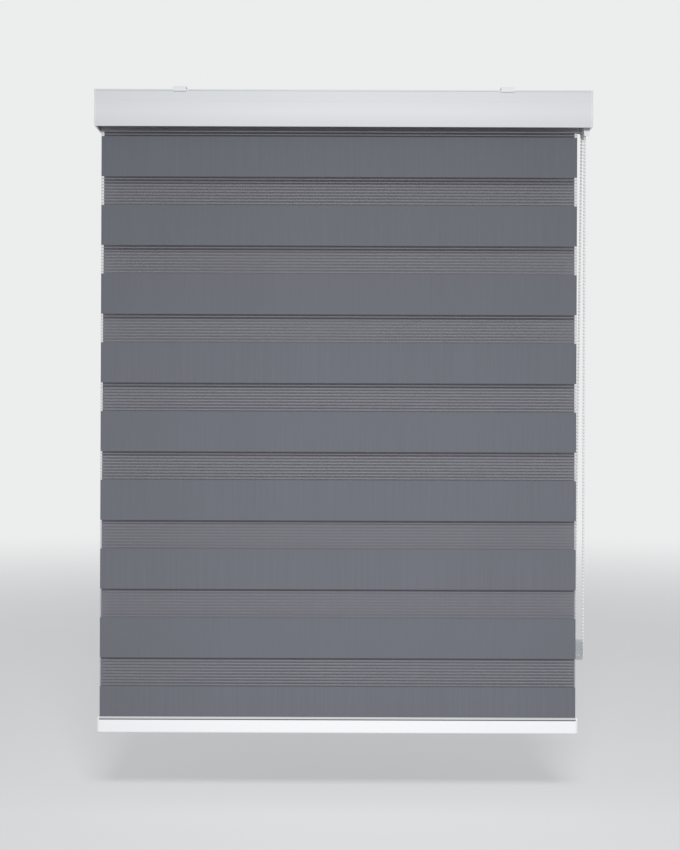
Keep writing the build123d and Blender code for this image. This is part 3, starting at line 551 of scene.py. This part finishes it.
def bead_stops():
    """The middles of all beads: over the wheel, down in front, round below and up behind."""
    axis = joints["roller_turn"]["pos_m"]
    wheel_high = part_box("chain_wheel")[1]
    wheel = Vector((wheel_high.x - WHEEL_SIDE, axis[1], axis[2]))
    mounts = {mount["name"]: mount for mount in frame["record"]["mounts"]}
    low = Vector(mounts["tensioner_screw"]["pos_m"])
    over = [wheel_stop(wheel, 360 * pocket / POCKETS) for pocket in range(POCKETS // 2 + 1)]
    under = [tensioner_stop(low, 180 * bead / TURN_BEADS) for bead in range(TURN_BEADS + 1)]
    return over + strand(over[-1], under[0]) + under + strand(under[-1], over[0])


def bead(points, faces, middle, along):
    """Add one round bead, a little longer than wide, with its poles along the cord."""
    across = along.orthogonal().normalized()
    third = along.cross(across)
    start = len(points)
    points.append(middle - along * BEAD_LENGTH / 2)
    for ring in range(1, BEAD_RINGS):
        tilt = math.pi * ring / BEAD_RINGS
        for segment in range(BEAD_SEGMENTS):
            turn = 2 * math.pi * segment / BEAD_SEGMENTS
            out = across * math.cos(turn) + third * math.sin(turn)
            ahead = along * math.cos(tilt) * BEAD_LENGTH / 2
            points.append(middle - ahead + out * math.sin(tilt) * BEAD_RADIUS)
    points.append(middle + along * BEAD_LENGTH / 2)
    last = len(points) - 1
    for segment in range(BEAD_SEGMENTS):
        after = (segment + 1) % BEAD_SEGMENTS
        faces.append((start, start + 1 + after, start + 1 + segment))
        for ring in range(BEAD_RINGS - 2):
            base = start + 1 + ring * BEAD_SEGMENTS
            above = base + BEAD_SEGMENTS
            faces.append((base + segment, base + after, above + after, above + segment))
        base = last - BEAD_SEGMENTS
        faces.append((base + segment, base + after, last))


def chain_way(stops, stop):
    """The direction of the chain at one of its beads."""
    return (stops[(stop + 1) % len(stops)] - stops[stop - 1]).normalized()


def bead_chain():
    """Round beads on a cord that runs through them all and closes on itself."""
    stops = bead_stops()
    points, faces = [], []
    for stop, middle in enumerate(stops):
        along = chain_way(stops, stop)
        across = along.orthogonal().normalized()
        third = along.cross(across)
        for side in range(CORD_SIDES):
            turn = 2 * math.pi * side / CORD_SIDES
            points.append(middle + (across * math.cos(turn) + third * math.sin(turn)) * CORD_RADIUS)
    for stop in range(len(stops)):
        here, ahead = stop * CORD_SIDES, (stop + 1) % len(stops) * CORD_SIDES
        gaps = [(points[ahead + side] - points[here]).length for side in range(CORD_SIDES)]
        nearest = gaps.index(min(gaps))
        for side in range(CORD_SIDES):
            after = (side + 1) % CORD_SIDES
            faces.append((
                here + side, here + after,
                ahead + (after + nearest) % CORD_SIDES, ahead + (side + nearest) % CORD_SIDES,
            ))
    for stop, middle in enumerate(stops):
        bead(points, faces, middle, chain_way(stops, stop))
    return mesh_object("chain_beads", points, faces, [chain_plastic])


chain = bead_chain()
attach(chain, "cassette")
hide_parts("bead_chain")


def floor_paint():
    """Pale matt paint with a faint mottle, which fades out towards the rim of the floor."""
    surface = Surface("floor_paint", FLOOR_COLOUR, FLOOR_ROUGHNESS)
    surface.tint(surface.noise(FLOOR_MOTTLE), FLOOR_TINT)
    length = surface.tree.nodes.new("ShaderNodeVectorMath")
    length.operation = "LENGTH"
    surface.tree.links.new(surface.place, length.inputs[0])
    fade = surface.tree.nodes.new("ShaderNodeMapRange")
    fade.interpolation_type = "SMOOTHSTEP"
    for socket, value in zip(fade.inputs[1:5], (FLOOR_FADE, FLOOR_RADIUS, FLOOR_COVER, 0.0)):
        socket.default_value = value
    surface.tree.links.new(length.outputs["Value"], fade.inputs["Value"])
    surface.tree.links.new(fade.outputs["Result"], surface.shader.inputs["Alpha"])
    return surface.material


turns = [2 * math.pi * segment / FLOOR_SEGMENTS for segment in range(FLOOR_SEGMENTS)]
rim = [(FLOOR_RADIUS * math.cos(turn), FLOOR_RADIUS * math.sin(turn), 0) for turn in turns]
floor = mesh_object("floor", rim, [tuple(range(FLOOR_SEGMENTS))], [floor_paint()])
floor.location.z = FLOOR_Z


def area_light(name, place, target, width, height, spread, power):
    """A soft rectangular lamp that points at a target."""
    lamp = bpy.data.lights.new(name, "AREA")
    lamp.shape = "RECTANGLE"
    lamp.size, lamp.size_y = width, height
    lamp.energy = power
    lamp.spread = spread
    made = bpy.data.objects.new(name, lamp)
    made.location = place
    made.rotation_euler = (Vector(target) - Vector(place)).to_track_quat("-Z", "Y").to_euler()
    made.visible_camera = False
    bpy.context.scene.collection.objects.link(made)


area_light("key", KEY_PLACE, KEY_TARGET, KEY_WIDTH, KEY_HEIGHT, KEY_SPREAD, KEY_POWER)

# The world lights the blind evenly; the camera and reflections see the paler backdrop in its place
world = bpy.data.worlds.new("studio")
world.use_nodes = True
tree = world.node_tree
ambient = tree.nodes["Background"]
ambient.inputs["Color"].default_value = (*WORLD_COLOUR, 1.0)
backdrop = tree.nodes.new("ShaderNodeBackground")
backdrop.inputs["Color"].default_value = (*BACKDROP_COLOUR, 1.0)
seen = tree.nodes.new("ShaderNodeLightPath")
share = seen.outputs["Is Camera Ray"]
for ray in ("Is Glossy Ray", "Is Transmission Ray"):
    larger = tree.nodes.new("ShaderNodeMath")
    larger.operation = "MAXIMUM"
    tree.links.new(share, larger.inputs[0])
    tree.links.new(seen.outputs[ray], larger.inputs[1])
    share = larger.outputs["Value"]
blend = tree.nodes.new("ShaderNodeMixShader")
tree.links.new(share, blend.inputs["Fac"])
tree.links.new(ambient.outputs["Background"], blend.inputs[1])
tree.links.new(backdrop.outputs["Background"], blend.inputs[2])
tree.links.new(blend.outputs["Shader"], tree.nodes["World Output"].inputs["Surface"])
bpy.context.scene.world = world

camera = bpy.data.objects.new("camera", bpy.data.cameras.new("camera"))
camera.location = CAMERA_PLACE
camera.rotation_euler = (math.pi / 2, CAMERA_ROLL, 0)
camera.data.sensor_width = SENSOR_WIDTH
camera.data.lens = SENSOR_WIDTH / 2 / (math.tan(HALF_VIEW) * IMAGE_HEIGHT / IMAGE_WIDTH)
bpy.context.scene.collection.objects.link(camera)
bpy.context.scene.camera = camera
bpy.context.scene.view_settings.view_transform = "Standard"
